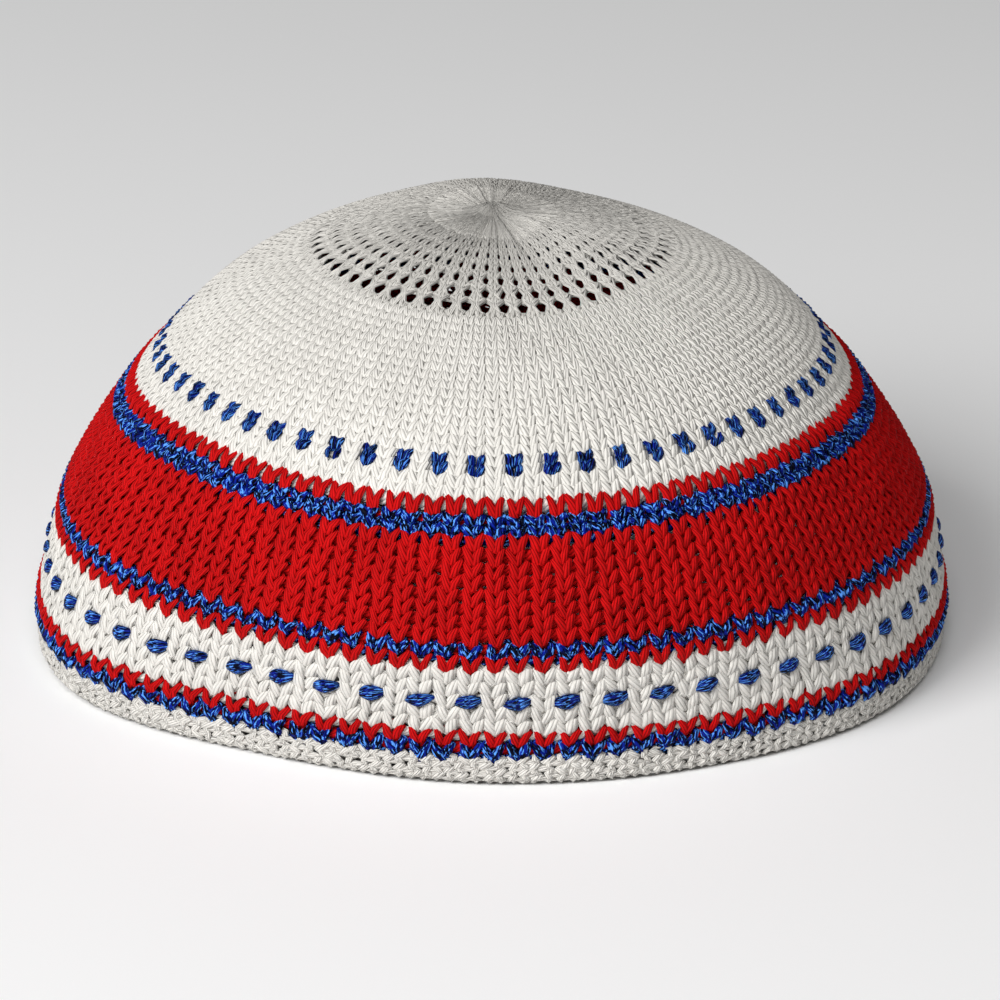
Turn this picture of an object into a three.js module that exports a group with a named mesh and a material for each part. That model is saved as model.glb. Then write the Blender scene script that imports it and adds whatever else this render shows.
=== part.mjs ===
import * as THREE from "three";

// A knitted kufi: a close round cap, knitted in one tube from the hem up. Its stripes are
// changes of yarn, a ring of eyelets pierces the top and the last round is drawn together.
// Millimetres, +Z up. The cap stands on its hem at z = 0 and its front faces -Y.

// Sizes that can be set by themselves
const bodyRadius = 91;
const capHeight = 88;
const knitThickness = 2.2;
const hemThickness = 3.2;
const hemHeight = 6.2;
const courseHeight = 2.8;
const bandGap = 0.3;
const walesRound = 120;
const eyeletReach = 37;
const eyeletLength = 1.8;
const eyeletPitch = 3.7;
const pleatDepth = 1.5;
const pleatsRound = 24;

const eyeletRounds = 2;
const walesPerEyelet = 2;

// The eyelets stand in columns with whole wales between them, and each ring of cloth has a
// facet for each column
const sideFacets = Math.round(walesRound / walesPerEyelet);
const crownWales = sideFacets * walesPerEyelet;

// The side view, from the foot of the hem to the gathered centre of the crown.
// radius is a share of bodyRadius, height a share of capHeight.
const sideView = [
  { radius: 1.0, height: 0.0 },
  { radius: 1.0, height: 0.086 },
  { radius: 0.984, height: 0.214 },
  { radius: 0.971, height: 0.294 },
  { radius: 0.957, height: 0.349 },
  { radius: 0.904, height: 0.49 },
  { radius: 0.829, height: 0.614 },
  { radius: 0.792, height: 0.658 },
  { radius: 0.739, height: 0.717 },
  { radius: 0.63, height: 0.806 },
  { radius: 0.42, height: 0.91 },
  { radius: 0.22, height: 0.983 },
  { radius: 0.11, height: 0.998 },
  { radius: 0.0, height: 1.0 },
];

// The view from above: how far the cap reaches at each turn from its front, in degrees,
// as a share of the side view's radius. low holds at the hem, high at the crown.
const topView = [
  { turn: 0, low: 0.925, high: 1.147 },
  { turn: 30, low: 0.955, high: 1.11 },
  { turn: 60, low: 1.03, high: 1.04 },
  { turn: 90, low: 1.046, high: 1.02 },
  { turn: 120, low: 1.07, high: 1.0 },
  { turn: 150, low: 1.055, high: 0.955 },
  { turn: 180, low: 1.03, high: 0.93 },
  { turn: 210, low: 1.005, high: 0.915 },
  { turn: 240, low: 0.985, high: 0.9 },
  { turn: 270, low: 0.98, high: 0.925 },
  { turn: 300, low: 1.01, high: 0.98 },
  { turn: 330, low: 0.917, high: 1.083 },
];
const lowEnds = 0.103;
const highStarts = 0.703;

// The bands of yarn above the hem, counted in knitted rounds from the bottom up.
// stretch is the height of a band's rounds as a share of courseHeight.
const bands = [
  { name: "blue_stripe_low", courses: 1, stretch: 0.95, rows: 1, yarn: "blue" },
  { name: "red_edge_low", courses: 1, stretch: 1.0, rows: 1, yarn: "red" },
  { name: "white_band", courses: 5, stretch: 1.02, rows: 2, yarn: "white" },
  { name: "red_edge_middle", courses: 1, stretch: 1.1, rows: 1, yarn: "red" },
  { name: "blue_stripe_middle", courses: 1, stretch: 1.0, rows: 1, yarn: "blue" },
  { name: "red_band", courses: 8, stretch: 1.0, rows: 3, yarn: "red" },
  { name: "blue_stripe_top", courses: 2, stretch: 0.84, rows: 1, yarn: "blue" },
  { name: "red_edge_top", courses: 1, stretch: 1.08, rows: 1, yarn: "red" },
];

// The hem's section. inward is a share of hemThickness, upward a share of hemHeight.
const hemSection = [
  { inward: 0.22, upward: 0.0 },
  { inward: 0.04, upward: 0.12 },
  { inward: 0.0, upward: 0.4 },
  { inward: 0.0, upward: 1.0 },
  { inward: knitThickness / hemThickness, upward: 1.0 },
  { inward: 1.0, upward: 0.7 },
  { inward: 0.97, upward: 0.15 },
  { inward: 0.78, upward: 0.0 },
];

// Soft folds of the crown. turn and spread are degrees from the front, rise is a share of
// capHeight, and start and full are shares of the way along the cloth from hem to centre.
const crownFolds = [
  { turn: 20, spread: 15, rise: -0.022, start: 0.6, full: 0.88 },
  { turn: 47, spread: 20, rise: 0.013, start: 0.62, full: 0.86 },
  { turn: -42, spread: 20, rise: 0.012, start: 0.62, full: 0.86 },
  { turn: -12, spread: 16, rise: -0.006, start: 0.7, full: 0.9 },
  { turn: 118, spread: 24, rise: -0.012, start: 0.64, full: 0.88 },
  { turn: -122, spread: 26, rise: -0.01, start: 0.64, full: 0.88 },
];
const foldsFade = 0.88;

const yarns = {
  white: { color: 0xe8e6df, roughness: 0.8, metalness: 0.0 },
  red: { color: 0xc3141b, roughness: 0.7, metalness: 0.0 },
  blue: { color: 0x101f63, roughness: 0.35, metalness: 0.0 },
};

const degree = Math.PI / 180;
const fullTurn = 2 * Math.PI;

const sideCurve = new THREE.CatmullRomCurve3(
  sideView.map((row) => new THREE.Vector3(row.radius * bodyRadius, 0, row.height * capHeight)),
  false,
  "centripetal",
);
sideCurve.arcLengthDivisions = 1200;
const clothLength = sideCurve.getLength();

// The reach at one turn, in radians, from a column of the top view
function reachAt(turn, column) {
  const step = fullTurn / topView.length;
  const place = (((turn % fullTurn) + fullTurn) % fullTurn) / step;
  const first = Math.floor(place);
  const part = place - first;
  const pick = (shift) => topView[(first + shift + topView.length) % topView.length][column];
  const before = pick(-1);
  const here = pick(0);
  const next = pick(1);
  const after = pick(2);
  const slope = (next - before) / 2;
  const nextSlope = (after - here) / 2;
  const bend = 3 * (next - here) - 2 * slope - nextSlope;
  const twist = slope + nextSlope - 2 * (next - here);
  return here + part * (slope + part * (bend + part * twist));
}

function easeBetween(value, low, high) {
  return THREE.MathUtils.smoothstep(value, low, high);
}

// How far a fold or pleat lifts the cloth at one place, in millimetres
function clothLift(turn, way) {
  let lift = 0;
  for (const fold of crownFolds) {
    let away = turn / degree - fold.turn;
    away -= 360 * Math.round(away / 360);
    const across = Math.exp(-0.5 * (away / fold.spread) ** 2);
    lift += fold.rise * capHeight * across * easeBetween(way, fold.start, fold.full);
  }
  lift *= 1 - easeBetween(way, foldsFade, 1);
  const gatherStarts = 1 - (eyeletReach - eyeletPitch * eyeletRounds) / clothLength;
  const gather = easeBetween(way, gatherStarts, 1);
  return lift + (pleatDepth / 2) * gather * Math.cos(turn * pleatsRound);
}

// A point of the cloth: turn round the cap in radians, run in millimetres along the cloth
// from the foot of the hem, depth in millimetres inward from the outer face
function clothPoint(turn, run, depth) {
  const way = THREE.MathUtils.clamp(run / clothLength, 0, 1);
  const middle = sideCurve.getPointAt(way);
  const tangent = sideCurve.getTangentAt(way);
  const outward = clothLift(turn, way) - depth;
  const radius = middle.x + tangent.z * outward;
  const height = middle.z - tangent.x * outward;
  const rise = (middle.z / capHeight - lowEnds) / (highStarts - lowEnds);
  const share = THREE.MathUtils.clamp(rise, 0, 1);
  const reach = THREE.MathUtils.lerp(reachAt(turn, "low"), reachAt(turn, "high"), share);
  return [radius * reach * Math.sin(turn), -radius * reach * Math.cos(turn), height];
}

function yarnMesh(name, yarn, positions, triangles) {
  const geometry = new THREE.BufferGeometry();
  geometry.setAttribute("position", new THREE.Float32BufferAttribute(positions.flat(), 3));
  geometry.setIndex(triangles);
  geometry.computeVertexNormals();
  const mesh = new THREE.Mesh(geometry, new THREE.MeshStandardMaterial(yarns[yarn]));
  mesh.name = name;
  return mesh;
}

// A closed ring of cloth: the section's corners go up the outside and down the inside
function yarnRing(name, yarn, section, facets) {
  const positions = [];
  const triangles = [];
  for (let side = 0; side < facets; side += 1) {
    const turn = (side / facets) * fullTurn;
    for (const corner of section) {
      positions.push(clothPoint(turn, corner.run, corner.depth));
    }
  }
  const corners = section.length;
  for (let side = 0; side < facets; side += 1) {
    const here = side * corners;
    const beside = ((side + 1) % facets) * corners;
    for (let corner = 0; corner < corners; corner += 1) {
      const above = (corner + 1) % corners;
      triangles.push(here + corner, beside + corner, beside + above);
      triangles.push(here + corner, beside + above, here + above);
    }
  }
  return yarnMesh(name, yarn, positions, triangles);
}

function bandSection(start, end, rows) {
  const section = [];
  for (let row = 0; row <= rows; row += 1) {
    section.push({ run: start + ((end - start) * row) / rows, depth: 0 });
  }
  for (let row = rows; row >= 0; row -= 1) {
    section.push({ run: start + ((end - start) * row) / rows, depth: knitThickness });
  }
  return section;
}

// The crown: rows of cells between two faces of cloth, left out where an eyelet opens,
// closed by a point on each face at the gathered centre
function pierced(name, yarn, runs, openRows) {
  const positions = [];
  const triangles = [];
  const faces = [0, knitThickness];
  for (const run of runs) {
    for (const depth of faces) {
      for (let wale = 0; wale < crownWales; wale += 1) {
        positions.push(clothPoint((wale / crownWales) * fullTurn, run, depth));
      }
    }
  }
  const at = (row, face, wale) => (row * faces.length + face) * crownWales + (wale % crownWales);
  const quad = (a, b, c, d) => triangles.push(a, b, c, a, c, d);
  const isOpen = (row, wale) => openRows.includes(row) && wale % walesPerEyelet === 0;
  const last = runs.length - 1;
  for (let wale = 0; wale < crownWales; wale += 1) {
    const next = wale + 1;
    quad(at(0, 1, wale), at(0, 1, next), at(0, 0, next), at(0, 0, wale));
    for (let row = 0; row < last; row += 1) {
      const up = row + 1;
      if (isOpen(row, wale)) {
        quad(at(row, 0, wale), at(row, 0, next), at(row, 1, next), at(row, 1, wale));
        quad(at(up, 1, wale), at(up, 1, next), at(up, 0, next), at(up, 0, wale));
        quad(at(row, 0, wale), at(row, 1, wale), at(up, 1, wale), at(up, 0, wale));
        quad(at(row, 1, next), at(row, 0, next), at(up, 0, next), at(up, 1, next));
      } else {
        quad(at(row, 0, wale), at(row, 0, next), at(up, 0, next), at(up, 0, wale));
        quad(at(row, 1, next), at(row, 1, wale), at(up, 1, wale), at(up, 1, next));
      }
    }
  }
  const outerTip = positions.length;
  const innerTip = outerTip + 1;
  positions.push([0, 0, capHeight]);
  positions.push([0, 0, capHeight - knitThickness]);
  for (let wale = 0; wale < crownWales; wale += 1) {
    triangles.push(at(last, 0, wale), at(last, 0, wale + 1), outerTip);
    triangles.push(at(last, 1, wale + 1), at(last, 1, wale), innerTip);
  }
  return yarnMesh(name, yarn, positions, triangles);
}

const kufi = new THREE.Group();

// The hem carries half of the gap above it, and each band half of the gap at each edge
const hemTop = hemHeight - bandGap / 2;
kufi.add(
  yarnRing(
    "hem",
    "white",
    hemSection.map((row) => ({ run: row.upward * hemTop, depth: row.inward * hemThickness })),
    sideFacets,
  ),
);

let bandFoot = hemHeight;
for (const band of bands) {
  const bandTop = bandFoot + band.courses * band.stretch * courseHeight;
  const section = bandSection(bandFoot + bandGap / 2, bandTop - bandGap / 2, band.rows);
  kufi.add(yarnRing(band.name, band.yarn, section, sideFacets));
  bandFoot = bandTop;
}

// The crown's rows: plain knit, then eyelet rounds with a bar of knit between, then gathers
const crownFoot = bandFoot + bandGap / 2;
const eyeletFoot = clothLength - eyeletReach;
const plainRows = 4;
const crownRuns = [];
for (let row = 0; row < plainRows; row += 1) {
  crownRuns.push(THREE.MathUtils.lerp(crownFoot, eyeletFoot, row / plainRows));
}
const openRows = [];
for (let round = 0; round < eyeletRounds; round += 1) {
  const foot = eyeletFoot + round * eyeletPitch;
  openRows.push(crownRuns.length);
  crownRuns.push(foot, foot + eyeletLength);
}
const gatherShares = [0.3, 0.55, 0.75, 0.9];
const gatherFoot = crownRuns[crownRuns.length - 1];
for (const share of gatherShares) {
  crownRuns.push(THREE.MathUtils.lerp(gatherFoot, clothLength, share));
}
kufi.add(pierced("crown", "white", crownRuns, openRows));

// Stand the cap on its hem, with the middle of its outline over the origin
const outline = new THREE.Box3().setFromObject(kufi);
const middle = outline.getCenter(new THREE.Vector3());
kufi.position.set(-middle.x, -middle.y, -outline.min.z);

export default kufi;
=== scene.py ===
"""Looks of a knitted kufi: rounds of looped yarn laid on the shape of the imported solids.

Metres, +Z up. The cap stands on its hem at z = 0 and its front faces -Y. Each round of the knit
is one closed yarn: a straight length is modelled once, repeated by arrays and then knitted, which
moves its vertices onto a path of linked loops and the loops onto the cloth of the cap.
"""

import logging
import math
from dataclasses import dataclass, field
from enum import Enum
from typing import NamedTuple

import bpy
import numpy as np
from mathutils import Matrix, Vector


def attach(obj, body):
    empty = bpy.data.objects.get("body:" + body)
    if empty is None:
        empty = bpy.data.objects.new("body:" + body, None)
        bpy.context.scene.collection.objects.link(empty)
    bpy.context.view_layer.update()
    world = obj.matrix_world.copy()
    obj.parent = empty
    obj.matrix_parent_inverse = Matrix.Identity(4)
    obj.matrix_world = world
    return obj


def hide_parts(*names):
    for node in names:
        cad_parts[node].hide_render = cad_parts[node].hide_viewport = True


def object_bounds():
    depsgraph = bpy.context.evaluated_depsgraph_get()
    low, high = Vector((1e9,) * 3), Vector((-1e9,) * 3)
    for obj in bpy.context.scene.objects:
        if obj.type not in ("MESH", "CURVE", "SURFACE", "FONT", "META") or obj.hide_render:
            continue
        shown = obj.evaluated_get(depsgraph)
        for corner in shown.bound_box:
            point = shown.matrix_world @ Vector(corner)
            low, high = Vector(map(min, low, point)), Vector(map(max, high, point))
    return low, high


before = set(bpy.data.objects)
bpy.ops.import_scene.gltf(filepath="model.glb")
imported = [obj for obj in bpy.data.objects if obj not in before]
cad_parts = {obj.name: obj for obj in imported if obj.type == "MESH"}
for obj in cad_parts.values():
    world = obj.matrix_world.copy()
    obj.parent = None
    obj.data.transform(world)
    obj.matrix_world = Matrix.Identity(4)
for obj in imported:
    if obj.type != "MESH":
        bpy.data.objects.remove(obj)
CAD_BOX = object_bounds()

log = logging.getLogger("kufi")
Array = np.ndarray

MM = 0.001
FULL_TURN = 2 * math.pi
WALES = 120
BODY = "root"


class SideRow(NamedTuple):
    """A place on the side view, as shares of the body's radius and the cap's height."""

    radius: float
    height: float


class TopRow(NamedTuple):
    """How far the cap reaches at one turn from its front, at the hem and at the crown."""

    low: float
    high: float


class FoldRow(NamedTuple):
    """A soft fold: degrees round the cap, share of its height, and ways up from the foot."""

    turn: float
    spread: float
    rise: float
    start: float
    full: float
    fades: float = 0.78
    gone: float = 0.96


SIDE_VIEW = (
    SideRow(radius=1.0, height=0.0),
    SideRow(radius=1.0, height=0.086),
    SideRow(radius=0.984, height=0.214),
    SideRow(radius=0.971, height=0.294),
    SideRow(radius=0.957, height=0.349),
    SideRow(radius=0.904, height=0.49),
    SideRow(radius=0.829, height=0.614),
    SideRow(radius=0.792, height=0.658),
    SideRow(radius=0.739, height=0.717),
    SideRow(radius=0.63, height=0.806),
    SideRow(radius=0.42, height=0.91),
    SideRow(radius=0.22, height=0.983),
    SideRow(radius=0.11, height=0.998),
    SideRow(radius=0.0, height=1.0),
)

TOP_VIEW = (
    TopRow(low=0.925, high=1.147),
    TopRow(low=0.955, high=1.11),
    TopRow(low=1.03, high=1.04),
    TopRow(low=1.046, high=1.02),
    TopRow(low=1.07, high=1.0),
    TopRow(low=1.055, high=0.955),
    TopRow(low=1.03, high=0.93),
    TopRow(low=1.005, high=0.915),
    TopRow(low=0.985, high=0.9),
    TopRow(low=0.98, high=0.925),
    TopRow(low=1.01, high=0.98),
    TopRow(low=0.917, high=1.083),
)

FOLDS = (
    FoldRow(turn=20, spread=15, rise=-0.022, start=0.6, full=0.88),
    FoldRow(turn=47, spread=20, rise=0.013, start=0.62, full=0.86),
    FoldRow(turn=-46, spread=20, rise=0.008, start=0.6, full=0.8),
    FoldRow(turn=-12, spread=18, rise=-0.003, start=0.7, full=0.9),
    FoldRow(turn=118, spread=24, rise=-0.012, start=0.64, full=0.88),
    FoldRow(turn=-122, spread=26, rise=-0.01, start=0.64, full=0.88),
    FoldRow(turn=25, spread=8, rise=-0.01, start=0.7, full=0.85, fades=0.94, gone=0.985),
    FoldRow(turn=-2, spread=20, rise=-0.003, start=0.8, full=0.92, fades=0.92, gone=0.98),
    FoldRow(turn=48, spread=13, rise=0.009, start=0.72, full=0.88, fades=0.95, gone=0.99),
    FoldRow(turn=150, spread=20, rise=-0.004, start=0.78, full=0.92, fades=0.95, gone=0.99),
    FoldRow(turn=-165, spread=40, rise=0.011, start=0.72, full=0.86, fades=0.9, gone=0.97),
    FoldRow(turn=98, spread=24, rise=-0.017, start=0.18, full=0.35, fades=0.4, gone=0.62),
    FoldRow(turn=-100, spread=24, rise=-0.014, start=0.18, full=0.35, fades=0.4, gone=0.62),
)


def smoothstep(value: Array, low: float, high: float) -> Array:
    """An easy rise from 0 to 1.

    Args:
        value: Where to read the rise.
        low: Where it starts.
        high: Where it ends.

    Returns:
        The height of the rise at each value.
    """
    share = np.clip((value - low) / (high - low), 0, 1)
    return share * share * (3 - 2 * share)


@dataclass
class Cap:
    """The cloth of the cap, on which a place is a wale round it and a run up from its foot."""

    body_radius: float = 91 * MM
    cap_height: float = 88 * MM
    low_ends: float = 0.103
    high_starts: float = 0.703
    gather_reach: float = 29.6 * MM
    pleat_depth: float = 0.8 * MM
    pleats_round: int = 24
    middle_depth: float = 0.95 * MM
    crown_depth: float = 0.0
    depth_ways: tuple[float, float] = (0.55, 0.75)
    fold_radius: float = 1.3 * MM
    fold_height: float = 2.1 * MM
    first_wale: float = -0.38
    apex_shift: float = 1.4 * MM
    apex_ways: tuple[float, float] = (0.75, 1.0)
    slump: float = 3.2 * MM
    slump_lean: float = 0.38
    slump_power: int = 6
    slump_rises: tuple[float, float] = (0.14, 0.4)
    slump_falls: tuple[float, float] = (0.5, 0.82)
    bundles_round: int = 58
    bundle_depth: float = 0.4 * MM
    bundle_ways: tuple[float, float] = (0.83, 0.92)
    smooth_radius: float = 14 * MM
    dip_depth: float = 1.5 * MM
    dip_radius: float = 24 * MM
    ridge_height: float = 2.0 * MM
    ridge_length: float = 4.2 * MM
    ridge_width: float = 1.6 * MM
    levels: int = 33
    stations: int = 2400
    side_samples: int = 200
    top_samples: int = 1441
    axis: Vector = field(default_factory=lambda: Vector((0, 0, 0)))

    def __post_init__(self) -> None:
        """Works out the side view, the top view and where the cap's axis stands."""
        self._trace_side()
        self._trace_top()
        self._stand_in_box()

    def _trace_side(self) -> None:
        """Samples the side view as a smooth curve through its rows, measured along it."""
        scale = (self.body_radius, self.cap_height)
        rows = np.array(SIDE_VIEW) * scale
        rows = np.vstack([2 * rows[0] - rows[1], rows, 2 * rows[-1] - rows[-2]])
        part = np.linspace(0, 1, self.side_samples, endpoint=False)[:, None]
        pieces = []
        for previous, start, end, following in zip(rows, rows[1:], rows[2:], rows[3:]):
            pairs = ((previous, start), (start, end), (end, following))
            before, here, after = (math.sqrt(math.dist(*pair)) for pair in pairs)
            leave = here * (
                (start - previous) / before - (end - previous) / (before + here) + (end - start) / here
            )
            arrive = here * (
                (end - start) / here - (following - start) / (here + after) + (following - end) / after
            )
            bend = 3 * (end - start) - 2 * leave - arrive
            twist = leave + arrive - 2 * (end - start)
            pieces.append(start + part * (leave + part * (bend + part * twist)))
        line = np.vstack([*pieces, rows[-2]])
        steps = np.hypot(*np.diff(line, axis=0).T)
        self._runs = np.concatenate([[0], np.cumsum(steps)])
        self._line = line
        self._slope = np.gradient(line, self._runs, axis=0)
        self.length = float(self._runs[-1])

    def _trace_top(self) -> None:
        """Samples the top view, and the turn at each wale, which are even along each ring."""
        turns = np.linspace(0, FULL_TURN, self.top_samples)
        place = turns / FULL_TURN * len(TOP_VIEW)
        first = np.floor(place).astype(int)
        part = (place - first)[:, None]
        rows = np.array(TOP_VIEW)
        before, here, after, last = (rows[(first + shift) % len(rows)] for shift in (-1, 0, 1, 2))
        slope = (after - before) / 2
        next_slope = (last - here) / 2
        bend = 3 * (after - here) - 2 * slope - next_slope
        twist = slope + next_slope - 2 * (after - here)
        self._turns = turns
        self._reach = (here + part * (slope + part * (bend + part * twist))).T
        ways = np.linspace(0, 1, self.stations + 1)
        self._wale_turns = np.empty((self.levels, self.stations + 1))
        self._girths = np.empty(self.levels)
        for level in range(self.levels):
            share = level / (self.levels - 1)
            reach = (1 - share) * self._reach[0] + share * self._reach[1]
            x, y = reach * np.sin(turns), reach * np.cos(turns)
            girth = np.concatenate([[0], np.cumsum(np.hypot(np.diff(x), np.diff(y)))])
            self._girths[level] = girth[-1]
            self._wale_turns[level] = np.interp(ways * girth[-1], girth, turns)

    def _stand_in_box(self) -> None:
        """Puts the cap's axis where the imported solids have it."""
        turn, run = np.meshgrid(self._turns[::8], np.linspace(0, self.length, self.side_samples))
        outline = self.cloth(turn.ravel(), run.ravel(), np.zeros(turn.size))
        low, high = CAD_BOX
        middle = (outline.min(0) + outline.max(0)) / 2
        self.axis = Vector(((low.x + high.x) / 2 - middle[0], (low.y + high.y) / 2 - middle[1], 0))

    def _share(self, run: Array) -> Array:
        """How far the outline has gone from that of the hem to that of the crown."""
        height = np.interp(run, self._runs, self._line[:, 1]) / self.cap_height
        return np.clip((height - self.low_ends) / (self.high_starts - self.low_ends), 0, 1)

    def wale_width(self, run: float) -> float:
        """The width of one wale at a run."""
        share = float(self._share(np.array([run]))[0])
        girth = np.interp(share * (self.levels - 1), np.arange(self.levels), self._girths)
        return float(np.interp(run, self._runs, self._line[:, 0]) * girth / WALES)

    def turn_at(self, wale: Array, run: Array) -> Array:
        """The turn from the front at a wale, in radians.

        Args:
            wale: Wales round the cap from its front, with parts of a wale.
            run: Length along the cloth from its foot.

        Returns:
            The turns, counted on past a full turn.
        """
        ways = wale / WALES
        laps = np.floor(ways)
        column = (ways - laps) * self.stations
        row = self._share(run) * (self.levels - 1)
        left = np.clip(column.astype(int), 0, self.stations - 1)
        under = np.clip(row.astype(int), 0, self.levels - 2)
        across = column - left
        up = row - under
        table = self._wale_turns
        low = table[under, left] * (1 - across) + table[under, left + 1] * across
        high = table[under + 1, left] * (1 - across) + table[under + 1, left + 1] * across
        return laps * FULL_TURN + low * (1 - up) + high * up

    def lift(self, turn: Array, way: Array) -> Array:
        """How far folds, pleats and the drawn centre lift the cloth.

        Args:
            turn: Turn from the front, in radians.
            way: Share of the way up the cloth.

        Returns:
            The lifts, less than nothing in a hollow.
        """
        lift = np.zeros_like(turn)
        for fold in FOLDS:
            away = np.degrees(turn) - fold.turn
            away -= 360 * np.round(away / 360)
            across = np.exp(-0.5 * (away / fold.spread) ** 2)
            along = smoothstep(way, fold.start, fold.full) * (1 - smoothstep(way, fold.fades, fold.gone))
            lift += fold.rise * self.cap_height * across * along
        gather = smoothstep(way, 1 - self.gather_reach / self.length, 1)
        pleats = self.pleat_depth / 2 * gather * np.cos(self.pleats_round * turn)
        drawn = np.minimum(1, (1 - way) * self.length / self.smooth_radius)
        return lift + (pleats + self._bundles(turn, way)) * drawn + self._ridge(turn, way)

    def _bundles(self, turn: Array, way: Array) -> Array:
        """How far the drawn loops stand up where they bunch together round the centre."""
        bunched = self.bundles_round * turn + 2.2 * np.sin(5 * turn) + 1.3 * np.sin(9 * turn + 1)
        uneven = 0.65 + 0.35 * np.sin(13 * turn + 2)
        return self.bundle_depth / 2 * np.cos(bunched) * uneven * smoothstep(way, *self.bundle_ways)

    def _ridge(self, turn: Array, way: Array) -> Array:
        """How far the centre stands up in the short ridge into which it is drawn, in a wide dip."""
        radius = (1 - way) * self.length
        along = radius * np.sin(turn) / self.ridge_length
        across = radius * np.cos(turn) / self.ridge_width
        dip = self.dip_depth * np.exp(-((radius / self.dip_radius) ** 2))
        return self.ridge_height * np.exp(-(along**2) - across**2) - dip

    def cloth(self, turn: Array, run: Array, depth: Array) -> Array:
        """Points of the cloth.

        Args:
            turn: Turn from the front, in radians.
            run: Length along the cloth from its foot.
            depth: Distance inward from its outer face.

        Returns:
            One row of x, y and z for each.
        """
        way = np.clip(run / self.length, 0, 1)
        radius, height = (np.interp(run, self._runs, self._line[:, i]) for i in (0, 1))
        run_out, run_up = (np.interp(run, self._runs, self._slope[:, i]) for i in (0, 1))
        size = np.hypot(run_out, run_up)
        outward = self.lift(turn, way) - depth
        radius = radius + run_up / size * outward
        height = height - run_out / size * outward
        share = self._share(run)
        low, high = (np.interp(turn, self._turns, row, period=FULL_TURN) for row in self._reach)
        radius = radius * ((1 - share) * low + share * high)
        x = self.axis.x + radius * np.sin(turn) + self.apex_shift * smoothstep(way, *self.apex_ways)
        y = self.axis.y - radius * np.cos(turn)
        return np.stack([x, y, height], axis=-1)

    def knit(self, wale: Array, run: Array, out: Array) -> Array:
        """Points of the knit, with its hem turned in behind its foot and its rounds low at the sides.

        Args:
            wale: Wales round the cap, with parts of a wale.
            run: Length along the knit, less than nothing in the turned part of the hem.
            out: Distance outward from the knit's middle.

        Returns:
            One row of x, y and z for each.
        """
        past = np.maximum(self.fold_height - run, 0)
        angle = np.minimum(past / self.fold_radius, math.pi)
        climbed = np.maximum(past - math.pi * self.fold_radius, 0)
        arm = self.fold_radius + out
        thins, thinned = self.depth_ways
        high = smoothstep(run, thins * self.length, thinned * self.length)
        middle_depth = self.middle_depth + (self.crown_depth - self.middle_depth) * high
        depth = middle_depth + self.fold_radius - arm * np.cos(angle)
        height = np.where(past > 0, self.fold_height - arm * np.sin(angle) + climbed, run)
        turn = self.turn_at(wale + self.first_wale, height)
        way = height / self.length
        slack = smoothstep(way, *self.slump_rises) * (1 - smoothstep(way, *self.slump_falls))
        aside = np.sin(turn)
        sunk = self.slump * slack * aside**self.slump_power * (1 - self.slump_lean * aside)
        return self.cloth(turn, height - sunk, depth)


class Wales(Enum):
    """Which wales of a round a yarn knits. It floats behind the others."""

    ALL = "all"
    MOTIF = "motif"
    GROUND = "ground"

    def knitted(self) -> Array:
        """True for each wale that the yarn knits."""
        motif = np.arange(WALES) % 2 == 0
        return {Wales.ALL: motif | True, Wales.MOTIF: motif, Wales.GROUND: ~motif}[self]


class Round(NamedTuple):
    """One knitted round: the run of its middle, its height, its wales and its shift in wales."""

    middle: float
    height: float
    wales: Wales = Wales.ALL
    shift: float = 0.0


def stack_rounds(foot: float, count: int, height: float, wales: Wales = Wales.ALL) -> list[Round]:
    """Rounds of one height, one on the other.

    Args:
        foot: Run of the foot of the lowest.
        count: How many.
        height: Height of each.
        wales: Which wales they knit.

    Returns:
        The rounds from the lowest up.
    """
    return [Round(foot + (i + 0.5) * height, height, wales) for i in range(count)]


@dataclass(frozen=True)
class Eyelets:
    """Rounds of holes in the crown, which push the loops round them apart."""

    runs: tuple[float, ...] = ()
    half_width: float = 0.4
    half_height: float = 0.44
    spread: float = 1.05
    flare: float = 0.4
    shrink: float = 0.1
    wale: float = 0.5

    def open(self, path: Array, width: float, height: float) -> Array:
        """Pushes a path of x, y and z away from the middle of each eyelet.

        Args:
            path: Points of x along the round, y along the cloth and z outward.
            width: Width of a wale.
            height: Height of a round.

        Returns:
            The moved points.
        """
        path = path.copy()
        for number, run in enumerate(self.runs):
            size = 1 - self.shrink * number
            across = path[..., 0] / width - self.wale
            across = (across + 1) % 2 - 1
            y = (path[..., 1] - run) / (2 * height * self.half_height * size)
            half = 2 * self.half_width * size * (1 + self.flare * np.tanh(y))
            x = across / half
            away = np.hypot(x, y) + 1e-6
            pushed = np.sqrt(away**2 + np.exp(-((away / self.spread) ** 4)))
            grow = pushed / away - 1
            path[..., 0] += x * grow * half * width
            path[..., 1] += y * grow * 2 * height * self.half_height * size
        return path


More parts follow.
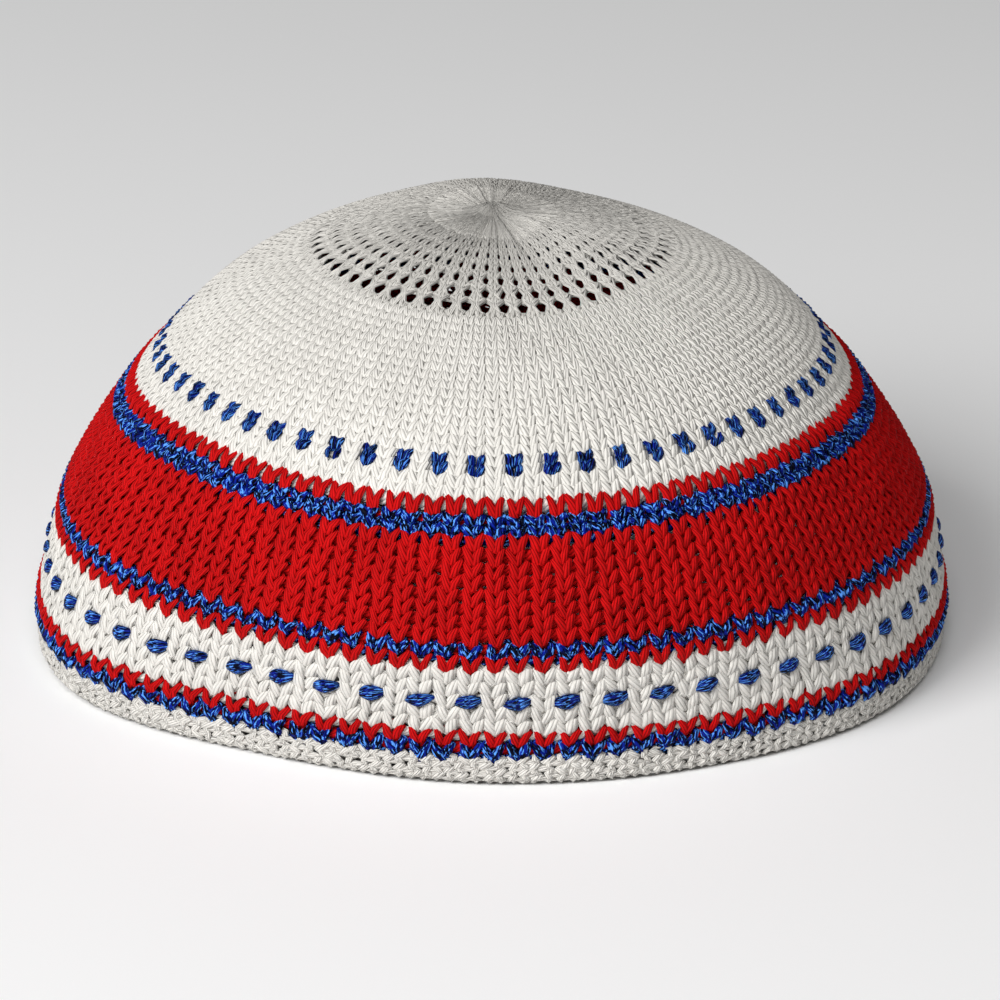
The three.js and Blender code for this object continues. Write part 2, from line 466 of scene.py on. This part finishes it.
@dataclass(frozen=True)
class Stitch:
    """The loop that a yarn makes in each wale, as shares of the wale and of the round.

    The yarn is wider on a loop's legs and narrower at its head and foot by `narrow`, and
    `foot_swell` widens its foot. Half of it is at most `widest_share` of a wale. In narrow wales
    the loops get shallow, down to `shallow`, and the yarn gets flat, down to `flattest`.
    """

    spread: float = 0.27
    reach: float = 0.88
    lean: float = 0.08
    pinch: float = 0.05
    depth: float = 0.75 * MM
    half_width: float = 0.68 * MM
    half_depth: float = 0.5 * MM
    narrow: float = 0.2
    foot_swell: float = 0.0
    widest_share: float = 0.2
    drift: float = 0.05
    uneven: float = 0.07
    crowding: float = 0.2
    shallow: float = 0.08
    deepening: float = 0.46
    flattest: float = 0.12
    windings: int = 1
    stations: int = 12
    sides: int = 5

    def angles(self) -> Array:
        """The stations along a loop, closer together at its head and foot."""
        even = np.arange(self.stations) / self.stations * FULL_TURN - math.pi
        return even - self.crowding * np.sin(2 * even)

    def swell(self, angle: Array) -> Array:
        """How wide the yarn is at each station, as a share of its usual width."""
        foot = np.sin(angle / 2) ** 8
        return 1 - self.narrow * np.cos(2 * angle) + self.foot_swell * foot

    def path(self, width: float, knit_round: Round, rng: np.random.Generator) -> Array:
        """The middle line of one round of yarn.

        Args:
            width: Width of a wale.
            knit_round: The round.
            rng: Source of the small differences between stitches.

        Returns:
            Points of x along the round, y along the cloth and z outward, by wale and station.
        """
        angle = self.angles()[None, :]
        wale = np.arange(WALES)[:, None] + 0 * angle
        flat = 0 * wale
        height = knit_round.height
        loop = np.stack(
            [
                self.spread * np.sin(2 * angle)
                - self.pinch * np.sin(angle)
                + self.lean * self.reach * (1 + np.cos(angle))
                + flat,
                self.reach * np.cos(angle) + flat,
                -self.depth * np.cos(2 * angle) + flat,
            ],
            axis=-1,
        )
        carried = np.stack([flat, flat - self.reach, flat - self.depth], axis=-1)
        own = np.cos(angle / 2)[..., None] ** 2
        loop[..., :2] += rng.normal(0, self.drift, (WALES, 1, 2)) * own
        feet = rng.normal(0, self.drift, (WALES, 1, 2))
        feet = np.where(angle[..., None] < 0, feet, np.roll(feet, -1, axis=0))
        loop[..., :2] += feet * (1 - own)
        loop[..., 2] += rng.normal(0, self.drift * self.depth, (WALES, 1)) * own[..., 0]
        path = np.where(knit_round.wales.knitted()[:, None, None], loop, carried)
        path[..., 0] = (path[..., 0] + wale + angle / FULL_TURN + knit_round.shift) * width
        path[..., 1] = knit_round.middle + path[..., 1] * height
        return path


@dataclass(frozen=True)
class Dash(Stitch):
    """A yarn that comes to the front across one wale, slanting up, as one full pointed dash."""

    length: float = 1.6
    slant: float = 0.5
    front: float = 1.05 * MM
    back: float = -0.9 * MM
    tip: float = 0.14
    taper: float = 1.5
    arch: float = 0.6

    def swell(self, angle: Array) -> Array:
        """How wide the yarn is: full in the middle of the dash and pointed at its ends."""
        return self.tip + (1 - self.tip) * np.abs(np.cos(angle / 2)) ** self.taper

    def path(self, width: float, knit_round: Round, rng: np.random.Generator) -> Array:
        """The middle line of one round of yarn.

        Args:
            width: Width of a wale.
            knit_round: The round.
            rng: Source of the small differences between dashes.

        Returns:
            Points of x along the round, y along the cloth and z outward, by wale and station.
        """
        angle = self.angles()[None, :]
        wale = np.arange(WALES)[:, None] + 0 * angle
        way = angle / FULL_TURN + 0 * wale
        shown = knit_round.wales.knitted()[:, None]
        across = np.where(shown, self.length, 2 - self.length) * way
        up = np.where(shown, self.slant, -self.slant) * way
        own = np.cos(angle / 2) ** 2
        up = up + rng.normal(0, self.drift, (WALES, 1)) * own
        out = self.back + np.where(shown, (self.front - self.back) * own**self.arch, 0 * way)
        up = knit_round.middle + up * knit_round.height
        return np.stack([(across + wale) * width, up, out], axis=-1)


class Tree:
    """The node tree of one material, with one method that adds any node."""

    def __init__(self, material: bpy.types.Material) -> None:
        """Empties the material's tree and keeps it."""
        material.use_nodes = True
        self.tree = material.node_tree
        self.tree.nodes.clear()

    def add(self, kind: str, settings: dict | None = None, sockets: dict | None = None) -> bpy.types.Node:
        """Adds a node.

        Args:
            kind: Its type, without the words that every shader node's type starts with.
            settings: Its properties, which are set first.
            sockets: What goes into its inputs, by name or number.

        Returns:
            The node.
        """
        node = self.tree.nodes.new("ShaderNode" + kind)
        for name, value in (settings or {}).items():
            setattr(node, name, value)
        for name, value in (sockets or {}).items():
            source = value.socket if isinstance(value, Term) else value
            if isinstance(source, bpy.types.NodeSocket):
                self.tree.links.new(source, node.inputs[name])
            else:
                node.inputs[name].default_value = source
        return node

    def mix(self, share: "Term", first: object, second: object) -> bpy.types.NodeSocket:
        """A colour between two, which may be sockets or tuples of four."""
        node = self.add("Mix", {"data_type": "RGBA"}, {0: share, 6: first, 7: second})
        return node.outputs[2]


class Term:
    """A number that a socket gives, with the sums that Math nodes do on it."""

    def __init__(self, tree: Tree, socket: bpy.types.NodeSocket) -> None:
        """Keeps the socket and its tree."""
        self.tree = tree
        self.socket = socket

    def _math(self, operation: str, *terms: object) -> "Term":
        """The result of a Math node on these terms."""
        node = self.tree.add("Math", {"operation": operation}, dict(enumerate(terms)))
        return Term(self.tree, node.outputs[0])

    def __add__(self, other: object) -> "Term":
        """This and the other."""
        return self._math("ADD", self, other)

    __radd__ = __add__

    def __mul__(self, other: object) -> "Term":
        """This times the other."""
        return self._math("MULTIPLY", self, other)

    __rmul__ = __mul__

    def __pow__(self, other: object) -> "Term":
        """This to the other's power."""
        return self._math("POWER", self, other)

    def sine(self) -> "Term":
        """The sine of this."""
        return self._math("SINE", self)

    def size(self) -> "Term":
        """This without its sign."""
        return self._math("ABSOLUTE", self)

    def rise(self, low: float, high: float) -> "Term":
        """An easy rise from 0 to 1 as this goes from low to high."""
        settings = {"interpolation_type": "SMOOTHSTEP"}
        node = self.tree.add("MapRange", settings, {0: self, 1: low, 2: high})
        return Term(self.tree, node.outputs[0])


@dataclass(frozen=True)
class YarnFinish:
    """The look of one yarn: its colours with painted shade between its strands and any painted glints, its
    strands and fibres, and its gloss.
    """

    name: str
    slot: str
    base: tuple[float, float, float]
    # The dark colour painted as shade in the grooves between strands, and on the lustrous yarn also in its
    # dark streaks.
    shade: tuple[float, float, float]
    roughness: float
    roughness_spread: float
    specular: float
    sheen: float = 0.0
    # Colour of the painted glint highlights of a lustrous yarn.
    glint: tuple[float, float, float] | None = None
    strands: int = 5
    strand_turn: float = 14.0 * MM
    strand_bump: float = 0.6
    fibre_bump: float = 0.5
    # Share of the colour darkened as painted shade in the grooves between strands.
    groove_shade: float = 0.5
    fibre_scale: float = 700.0
    # Size of the noise where glint highlights are painted.
    glint_scale: float = 1000.0
    patch_scale: float = 90.0
    patch_share: float = 0.2
    dark_range: tuple[float, float] = (0.465, 0.56)
    # Where that noise turns into painted glint highlights.
    glint_range: tuple[float, float] = (0.55, 0.6)
    bump_distance: float = 0.3 * MM

    def material(self) -> bpy.types.Material:
        """The yarn's material, made the first time that it is asked for.

        Returns:
            The material, which reads the UV map and Object coordinates.
        """
        made = bpy.data.materials.get(self.name)
        if made:
            return made
        made = bpy.data.materials.new(self.name)
        tree = Tree(made)
        uv = tree.add("UVMap", {"uv_map": "yarn"})
        parts = tree.add("SeparateXYZ", sockets={0: uv.outputs[0]})
        along = Term(tree, parts.outputs[0])
        around = Term(tree, parts.outputs[1])
        twist = around * self.strands + along * (self.strands / self.strand_turn)
        strand = (twist * math.pi).sine().size()
        fibre = self._noise(tree, along * self.fibre_scale, twist * 2.2, 3.0)
        place = tree.add("TexCoord").outputs["Object"]
        patches = tree.add("TexNoise", sockets={0: place, "Scale": self.patch_scale, "Detail": 3.0})
        patch = Term(tree, patches.outputs[0])
        # Share from the shade colour to the base: painted shade in the grooves between strands, plus fibre
        # noise that streaks the colour along the strands and patch noise that varies the tone at random.
        light = strand.rise(0.0, 0.75) * self.groove_shade + fibre.rise(0.3, 0.7) * (0.8 - self.groove_shade)
        light = light + patch.rise(0.3, 0.7) * self.patch_share
        colour = tree.mix(light, (*self.shade, 1), (*self.base, 1))
        # On the lustrous yarn, noise mixes in dark streaks of the shade colour, and the glint colour is
        # painted as glint highlights where a second noise rises.
        if self.glint:
            slant = along * (0.5 * self.fibre_scale)
            deep = self._noise(tree, along * self.fibre_scale + 7.3, around * 6 + slant, 2.0)
            colour = tree.mix(deep.rise(*self.dark_range), (*self.shade, 1), colour)
            slant = along * (0.6 * self.glint_scale)
            glint_mask = self._noise(tree, along * self.glint_scale, around * 11 + slant, 2.0)
            colour = tree.mix(glint_mask.rise(*self.glint_range), colour, (*self.glint, 1))
        height = strand ** 0.6 * self.strand_bump + fibre * self.fibre_bump
        bump = tree.add("Bump", sockets={"Strength": 1.0, "Distance": self.bump_distance, "Height": height})
        roughness = fibre * self.roughness_spread + (self.roughness - self.roughness_spread / 2)
        shader = tree.add(
            "BsdfPrincipled",
            sockets={
                "Base Color": colour,
                "Roughness": roughness,
                "Normal": bump.outputs[0],
                "Specular IOR Level": self.specular,
                "Sheen Weight": self.sheen,
                "Sheen Roughness": 0.5,
                "Sheen Tint": (*self.base, 1),
            },
        )
        tree.add("OutputMaterial", sockets={0: shader.outputs[0]})
        return made

    def _noise(self, tree: Tree, along: Term, across: Term, detail: float) -> Term:
        """Noise at a place given along and across the yarn."""
        place = tree.add("CombineXYZ", sockets={0: along, 1: across})
        noise = tree.add("TexNoise", sockets={0: place.outputs[0], "Scale": 1.0, "Detail": detail})
        return Term(tree, noise.outputs[0])


WHITE_YARN = YarnFinish(
    name="white_cotton_yarn",
    slot="white_yarn",
    base=(0.84, 0.815, 0.765),
    # Painted shade colour for the grooves between strands.
    shade=(0.6, 0.58, 0.54),
    roughness=0.85,
    roughness_spread=0.2,
    specular=0.12,
    sheen=0.05,
    strands=7,
    groove_shade=0.32,
)
RED_YARN = YarnFinish(
    name="red_cotton_yarn",
    slot="red_yarn",
    base=(0.68, 0.005, 0.006),
    # Painted shade colour for the grooves between strands.
    shade=(0.17, 0.001, 0.0015),
    roughness=0.75,
    roughness_spread=0.2,
    specular=0.08,
    strands=7,
    groove_shade=0.5,
)
BLUE_YARN = YarnFinish(
    name="blue_lustre_yarn",
    slot="blue_yarn",
    base=(0.003, 0.018, 0.34),
    # Painted shade colour for the grooves between strands, also the colour of the dark streaks.
    shade=(0.0004, 0.0008, 0.008),
    # Painted glint highlights.
    glint=(0.11, 0.36, 1.0),
    roughness=0.5,
    roughness_spread=0.3,
    specular=0.06,
    strands=4,
    strand_turn=6.0 * MM,
    strand_bump=0.8,
    fibre_bump=0.8,
)


def only(piece: bpy.types.Object) -> None:
    """Selects one object and makes it the active one."""
    bpy.ops.object.select_all(action="DESELECT")
    piece.select_set(True)
    bpy.context.view_layer.objects.active = piece


def repeat(piece: bpy.types.Object, count: int, step: tuple[float, float, float], join: bool) -> None:
    """Repeats a piece along a step by an applied array.

    Args:
        piece: The piece.
        count: How many there are in the end.
        step: From one to the next.
        join: Whether each meets the next in shared vertices.
    """
    array = piece.modifiers.new("repeat", "ARRAY")
    array.count = count
    array.use_relative_offset = False
    array.use_constant_offset = True
    array.constant_offset_displace = step
    array.use_merge_vertices = join
    array.merge_threshold = 0.001
    bpy.ops.object.modifier_apply(modifier=array.name)


@dataclass
class YarnPiece:
    """Rounds of one yarn, knitted on the cap."""

    name: str
    nodes: tuple[str, ...]
    finish: YarnFinish
    rounds: list[Round]
    stitch: Stitch
    eyelets: Eyelets = Eyelets()
    seed: int = 1
    row_step: float = 4.0

    def build(self, cap: Cap) -> bpy.types.Object:
        """Models the yarn and knits it.

        Args:
            cap: The cloth that it is laid on.

        Returns:
            The finished piece, with its material.
        """
        piece = self._straight_yarns()
        self._lay(piece, cap)
        self._close(piece)
        piece.data.materials.clear()
        piece.data.materials.append(self.finish.material())
        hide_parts(*self.nodes)
        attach(piece, BODY)
        log.info("%s: %d rounds, %d faces", self.name, len(self.rounds), len(piece.data.polygons))
        return piece

    def _straight_yarns(self) -> bpy.types.Object:
        """One straight yarn for each round, side by side, of unit radius and unit stations."""
        bpy.ops.object.select_all(action="DESELECT")
        bpy.ops.mesh.primitive_cylinder_add(
            vertices=self.stitch.sides,
            radius=1,
            depth=1,
            end_fill_type="NOTHING",
            location=(0, 0, 0.5),
        )
        piece = bpy.context.object
        piece.name = piece.data.name = self.name
        bpy.ops.object.transform_apply(location=True, rotation=True, scale=True)
        repeat(piece, self.stitch.stations, (0, 0, 1), True)
        repeat(piece, WALES, (0, 0, self.stitch.stations), True)
        repeat(piece, len(self.rounds), (self.row_step, 0, 0), False)
        return piece

    def _lay(self, piece: bpy.types.Object, cap: Cap) -> None:
        """Moves each vertex of the straight yarns to its place in the knit.

        Args:
            piece: The straight yarns.
            cap: The cloth that they are laid on.
        """
        mesh = piece.data
        flat = np.empty(len(mesh.vertices) * 3, np.float32)
        mesh.vertices.foreach_get("co", flat)
        flat = flat.reshape(-1, 3).astype(float)
        row = np.round(flat[:, 0] / self.row_step).astype(int)
        round_angle = np.arctan2(flat[:, 1], flat[:, 0] - row * self.row_step)
        station = np.round(flat[:, 2]).astype(int)
        total = WALES * self.stitch.stations
        rng = np.random.default_rng(self.seed)
        middle, side, face, width, length = self._lines(cap, rng)
        lap = station // total
        spot = station % total
        centre = middle[row, spot]
        centre[:, 0] += lap * WALES * width[row]
        offset = side[row, spot] * np.cos(round_angle)[:, None]
        offset += face[row, spot] * np.sin(round_angle)[:, None]
        place = centre + offset
        points = cap.knit(place[:, 0] / width[row], place[:, 1], place[:, 2])
        mesh.vertices.foreach_set("co", points.astype(np.float32).ravel())
        self._unroll(mesh, station, round_angle, length[row])
        mesh.update()

    def _lines(self, cap: Cap, rng: np.random.Generator) -> tuple[Array, Array, Array, Array, Array]:
        """The middle lines of all rounds and the yarn's half sizes round them.

        Args:
            cap: The cloth, for the width of its wales.
            rng: Source of the small differences between stitches.

        Returns:
            The middle lines, the offsets to the side and the face, and each round's wale width
            and yarn length for a station.
        """
        stitch = self.stitch
        lines, sides, faces, widths, lengths = [], [], [], [], []
        angle = np.tile(stitch.angles(), WALES)
        for knit_round in self.rounds:
            width = cap.wale_width(max(knit_round.middle, 0))
            path = stitch.path(width, knit_round, rng).reshape(-1, 3)
            path[:, 2] *= min(1.0, stitch.shallow + stitch.deepening * width / stitch.half_width)
            path = self.eyelets.open(path, width, knit_round.height)
            ahead = np.roll(path, -1, axis=0)
            ahead[-1, 0] += WALES * width
            behind = np.roll(path, 1, axis=0)
            behind[0, 0] -= WALES * width
            along = ahead - behind
            reach = np.linalg.norm(along, axis=1)
            along /= reach[:, None]
            side = np.cross((0, 0, 1), along)
            side /= np.linalg.norm(side, axis=1)[:, None]
            face = np.cross(along, side)
            thin = min(1.0, stitch.widest_share * width / stitch.half_width)
            swell = stitch.swell(angle)
            swell = swell * np.repeat(rng.normal(1, stitch.uneven, WALES), stitch.stations)
            lines.append(path)
            sides.append(side * (stitch.half_width * thin * swell)[:, None])
            flat = stitch.flattest + (1 - stitch.flattest) * thin
            faces.append(face * stitch.half_depth * flat)
            widths.append(width)
            lengths.append(float(reach.mean()) / 2)
        return tuple(np.array(part) for part in (lines, sides, faces, widths, lengths))

    def _unroll(self, mesh: bpy.types.Mesh, station: Array, angle: Array, length: Array) -> None:
        """Writes the UV map: metres along the yarn, and the way round it.

        Args:
            mesh: The yarn's mesh.
            station: Each vertex's station along its yarn.
            angle: Its angle round the yarn.
            length: Its yarn's length for a station.
        """
        corner = np.empty(len(mesh.loops), np.int32)
        mesh.loops.foreach_get("vertex_index", corner)
        around = (np.round(angle / FULL_TURN * self.stitch.sides) % self.stitch.sides)[corner]
        by_face = around.reshape(-1, 4)
        wraps = (by_face.max(1) - by_face.min(1) > self.stitch.sides / 2)[:, None]
        by_face = np.where(wraps & (by_face == 0), self.stitch.sides, by_face)
        along = station[corner] * length[corner]
        uv = np.stack([along, by_face.ravel() * self.stitch.windings / self.stitch.sides], axis=-1)
        while mesh.uv_layers:
            mesh.uv_layers.remove(mesh.uv_layers[0])
        layer = mesh.uv_layers.new(name="yarn")
        layer.data.foreach_set("uv", uv.astype(np.float32).ravel())

    def _close(self, piece: bpy.types.Object) -> None:
        """Joins the ends of each yarn, turns its faces outward and smooths it."""
        only(piece)
        bpy.ops.object.mode_set(mode="EDIT")
        bpy.ops.mesh.select_all(action="SELECT")
        bpy.ops.mesh.remove_doubles(threshold=1e-7)
        bpy.ops.mesh.normals_make_consistent(inside=False)
        bpy.ops.object.mode_set(mode="OBJECT")
        bpy.ops.object.shade_smooth()


HEM_STITCH = Stitch(
    spread=0.24,
    reach=0.72,
    pinch=0.0,
    half_width=0.66 * MM,
    half_depth=0.4 * MM,
    depth=0.2 * MM,
    widest_share=0.24,
    drift=0.12,
)
DASH_STITCH = Dash(
    half_width=1.6 * MM,
    half_depth=0.5 * MM,
    widest_share=0.4,
    stations=14,
    sides=8,
    windings=3,
)
STITCHES = {
    "white_yarn": Stitch(
        pinch=0.0,
        half_width=1.06 * MM,
        half_depth=0.42 * MM,
        depth=0.42 * MM,
        foot_swell=0.4,
        widest_share=0.26,
        drift=0.1,
    ),
    "red_yarn": Stitch(
        pinch=0.06,
        half_width=0.66 * MM,
        half_depth=0.48 * MM,
        depth=0.7 * MM,
        foot_swell=1.5,
        drift=0.06,
    ),
    "blue_yarn": Stitch(
        reach=0.78,
        pinch=0.04,
        half_width=0.8 * MM,
        half_depth=0.5 * MM,
        depth=0.75 * MM,
        foot_swell=1.2,
        drift=0.1,
    ),
}
PLAIN_STITCH = Stitch(
    pinch=0.0,
    half_width=0.97 * MM,
    half_depth=0.4 * MM,
    depth=0.35 * MM,
    foot_swell=1.2,
    widest_share=0.275,
)
DOT_STITCH = Stitch(
    spread=0.2,
    lean=0.14,
    half_width=1.05 * MM,
    half_depth=0.5 * MM,
    drift=0.1,
    windings=2,
)
PIERCED_STITCH = Stitch(
    spread=0.27,
    pinch=0.0,
    half_width=0.5 * MM,
    half_depth=0.32 * MM,
    depth=0.22 * MM,
    widest_share=0.26,
    sides=4,
)
DRAWN_STITCH = Stitch(
    spread=0.2,
    reach=1.0,
    pinch=0.0,
    half_width=0.5 * MM,
    half_depth=0.35 * MM,
    depth=0.3 * MM,
    widest_share=0.4,
    stations=10,
    sides=4,
)


def motif_piece(name: str, node: str, rounds: list[Round], stitch: Stitch, seed: int) -> YarnPiece:
    """The blue yarn of a row of dashes or dots, carried behind the white between them.

    Args:
        name: Name of the piece.
        node: The node that it helps to replace.
        rounds: Its rounds.
        stitch: Its dashes or dots.
        seed: Seed of their small differences.

    Returns:
        The yarn.
    """
    return YarnPiece(name, (node,), BLUE_YARN, rounds, stitch, seed=seed)


@dataclass
class Hem:
    """The white edge that the cap stands on, turned in behind itself, its rounds half a wale apart."""

    height: float = 6.2 * MM
    outside: int = 5
    inside: int = 4
    slip: float = 0.5

    def pieces(self) -> list[YarnPiece]:
        """The hem's yarn."""
        step = self.height / self.outside
        rounds = stack_rounds(-self.inside * step, self.inside + self.outside, step)
        top = len(rounds) - 1
        for number in range(top):
            rounds[number] = rounds[number]._replace(shift=(number - top) * self.slip)
        return [YarnPiece("hem_knit", ("hem",), WHITE_YARN, rounds, HEM_STITCH, seed=11)]


class Stripe(NamedTuple):
    """A band of one yarn: its node, its finish, its rounds and the share of their height."""

    node: str
    finish: YarnFinish
    rounds: int
    stretch: float


@dataclass
class Body:
    """The striped side of the cap, from the hem to the crown."""

    foot: float = Hem.height
    round_height: float = 2.8 * MM
    dashed: str = "white_band"
    stripes: tuple[Stripe, ...] = (
        Stripe("blue_stripe_low", BLUE_YARN, 1, 0.95),
        Stripe("red_edge_low", RED_YARN, 1, 1.0),
        Stripe("white_band", WHITE_YARN, 5, 1.02),
        Stripe("red_edge_middle", RED_YARN, 1, 1.1),
        Stripe("blue_stripe_middle", BLUE_YARN, 1, 1.0),
        Stripe("red_band", RED_YARN, 8, 1.03),
        Stripe("blue_stripe_top", BLUE_YARN, 2, 0.74),
        Stripe("red_edge_top", RED_YARN, 1, 1.28),
    )

    def top(self) -> float:
        """Run of the foot of the crown."""
        shares = sum(stripe.rounds * stripe.stretch for stripe in self.stripes)
        return self.foot + shares * self.round_height

    def pieces(self) -> list[YarnPiece]:
        """The yarns of the stripes, and the blue yarn of the dashes.

        Returns:
            The yarns from the hem up.
        """
        made = []
        foot = self.foot
        for number, stripe in enumerate(self.stripes):
            height = stripe.stretch * self.round_height
            rounds = stack_rounds(foot, stripe.rounds, height)
            foot += stripe.rounds * height
            if stripe.node == self.dashed:
                middle = len(rounds) // 2
                dashes = [rounds[middle]._replace(wales=Wales.MOTIF)]
                rounds[middle] = rounds[middle]._replace(wales=Wales.GROUND)
                made.append(motif_piece("dash_yarn", stripe.node, dashes, DASH_STITCH, 21))
            name = stripe.node + "_knit"
            stitch = STITCHES[stripe.finish.slot]
            made.append(YarnPiece(name, (stripe.node,), stripe.finish, rounds, stitch, seed=30 + number))
        return made


@dataclass
class Crown:
    """The white top: plain rounds, the row of dots, the eyelet ring and the gathered centre."""

    foot: float
    length: float
    edge_round_height: float = 2.55 * MM
    dot_round_height: float = 2.0 * MM
    eyelet_reach: float = 39.1 * MM
    eyelet_round_height: float = 2.0 * MM
    eyelet_rows: int = 6
    gathered: int = 8
    plain_split: int = 8
    plain: int = 16

    def pieces(self) -> list[YarnPiece]:
        """The crown's white yarns and the blue yarn of its dots.

        Returns:
            The yarns from the upper red edge to the centre.
        """
        dotted = self.foot + 2 * self.edge_round_height
        plain_foot = dotted + 2 * self.dot_round_height
        eyelet_foot = self.length - self.eyelet_reach
        plain_height = (eyelet_foot - plain_foot) / self.plain
        lower = stack_rounds(self.foot, 2, self.edge_round_height)
        lower += stack_rounds(dotted, 2, self.dot_round_height, Wales.GROUND)
        lower += stack_rounds(plain_foot, self.plain_split, plain_height)
        upper_foot = plain_foot + self.plain_split * plain_height
        upper = stack_rounds(upper_foot, self.plain - self.plain_split, plain_height)
        dots = stack_rounds(dotted, 2, self.dot_round_height, Wales.MOTIF)
        eyelet_rounds = 2 * self.eyelet_rows + 1
        pierced = stack_rounds(eyelet_foot, eyelet_rounds, self.eyelet_round_height)
        gather_foot = eyelet_foot + eyelet_rounds * self.eyelet_round_height
        gather_height = (self.length - gather_foot) / self.gathered
        gather = stack_rounds(gather_foot, self.gathered, gather_height)
        holes = tuple(
            eyelet_foot + (2 * row + 1.5) * self.eyelet_round_height for row in range(self.eyelet_rows)
        )
        eyelets = Eyelets(runs=holes)
        nodes = ("crown",)
        return [
            YarnPiece("crown_lower_knit", nodes, WHITE_YARN, lower, PLAIN_STITCH, seed=51),
            YarnPiece("crown_upper_knit", nodes, WHITE_YARN, upper, PLAIN_STITCH, seed=52),
            motif_piece("dot_yarn", "crown", dots, DOT_STITCH, 53),
            YarnPiece("eyelet_knit", nodes, WHITE_YARN, pierced, PIERCED_STITCH, eyelets, seed=54),
            YarnPiece("gathered_knit", nodes, WHITE_YARN, gather, DRAWN_STITCH, seed=55),
        ]


class Lamp(NamedTuple):
    """A square soft box that faces the cap: its name, its place, its side and its power."""

    name: str
    place: tuple[float, float, float]
    size: float
    power: float


@dataclass
class Studio:
    """The pale floor, the soft lights and the camera."""

    frame_pixels: int = 1000
    focal_pixels: float = 5440.0
    aim_pixels: tuple[float, float] = (482.1, 404.8)
    distance: float = 12 * 91 * MM
    elevation: float = math.radians(21)
    roll: float = 0.01675
    sensor: float = 36.0
    aim_height: float = 45.5 * MM
    clip: tuple[float, float] = (0.05, 30.0)
    floor_size: float = 12.0
    surround: float = 0.1
    lamp_aim: tuple[float, float, float] = (0.0, 0.0, 0.04)
    lamps: tuple[Lamp, ...] = (
        Lamp(name="key", place=(-1.1, -1.25, 1.25), size=1.0, power=37.5),
        Lamp(name="top", place=(0.0, -1.15, 1.7), size=1.0, power=14.0),
    )

    def build(self, cap: Cap) -> None:
        """Makes the floor, the lights, the world and the camera.

        Args:
            cap: The cap, on whose axis the camera is aimed.
        """
        self._floor()
        self._lights()
        self._world()
        self._camera(cap)

    def _floor(self) -> None:
        """A wide pale floor."""
        bpy.ops.object.select_all(action="DESELECT")
        bpy.ops.mesh.primitive_plane_add(size=self.floor_size, location=(0, 0, 0))
        floor = bpy.context.object
        floor.name = "floor"
        material = bpy.data.materials.new("pale_floor")
        tree = Tree(material)
        place = tree.add("TexCoord").outputs["Object"]
        grain = Term(tree, tree.add("TexNoise", sockets={0: place, "Scale": 3.0}).outputs[0])
        colour = tree.mix(grain, (0.92, 0.92, 0.92, 1), (0.94, 0.94, 0.94, 1))
        shader = tree.add("BsdfPrincipled", sockets={"Base Color": colour, "Roughness": 0.9})
        tree.add("OutputMaterial", sockets={0: shader.outputs[0]})
        floor.data.materials.append(material)

    def _lights(self) -> None:
        """Soft boxes in front: a key from the left and a weaker one from above."""
        for lamp in self.lamps:
            bpy.ops.object.light_add(type="AREA", location=lamp.place)
            light = bpy.context.object
            light.name = lamp.name
            light.data.size = lamp.size
            light.data.energy = lamp.power
            toward = Vector(self.lamp_aim) - Vector(lamp.place)
            light.rotation_euler = toward.to_track_quat("-Z", "Y").to_euler()

    def _world(self) -> None:
        """An even pale surround."""
        world = bpy.data.worlds.new("studio")
        bpy.context.scene.world = world
        world.use_nodes = True
        background = world.node_tree.nodes["Background"]
        background.inputs[0].default_value = (1, 1, 1, 1)
        background.inputs[1].default_value = self.surround

    def _camera(self, cap: Cap) -> None:
        """The camera at the photograph's angle, aimed so that the cap's axis lies left of centre.

        Args:
            cap: The cap, for the place of its axis.
        """
        rise, level = math.sin(self.elevation), math.cos(self.elevation)
        target = Vector((cap.axis.x, cap.axis.y, self.aim_height))
        ahead = Vector((0, level, -rise))
        up = Vector((0, rise, level))
        right = Vector((1, 0, 0))
        turn_right = right * math.cos(self.roll) + up * math.sin(self.roll)
        turn_up = up * math.cos(self.roll) - right * math.sin(self.roll)
        centre = self.frame_pixels / 2
        aside = (centre - self.aim_pixels[0]) / self.focal_pixels
        below = (centre - self.aim_pixels[1]) / self.focal_pixels
        forward = (ahead + turn_right * aside - turn_up * below).normalized()
        side = (turn_right - forward * turn_right.dot(forward)).normalized()
        over = side.cross(forward)
        place = target - ahead * self.distance
        bpy.ops.object.camera_add(location=place)
        camera = bpy.context.object
        facing = Matrix((side, over, -forward)).transposed().to_4x4()
        camera.matrix_world = Matrix.Translation(place) @ facing
        camera.data.sensor_width = self.sensor
        camera.data.lens = self.focal_pixels * self.sensor / self.frame_pixels
        camera.data.clip_start, camera.data.clip_end = self.clip
        bpy.context.scene.camera = camera


def main() -> None:
    """Builds the cap from its hem up, then the studio round it."""
    logging.basicConfig(level=logging.INFO, format="%(name)s %(message)s")
    bpy.context.scene.view_settings.view_transform = "Standard"
    cap = Cap()
    body = Body()
    crown = Crown(foot=body.top(), length=cap.length)
    log.info("cloth %.1f mm, axis %s, crown from %.1f mm", cap.length / MM, tuple(cap.axis), crown.foot / MM)
    for part in (Hem(), body, crown):
        for piece in part.pieces():
            piece.build(cap)
    Studio().build(cap)


if __name__ == "__main__":
    main()
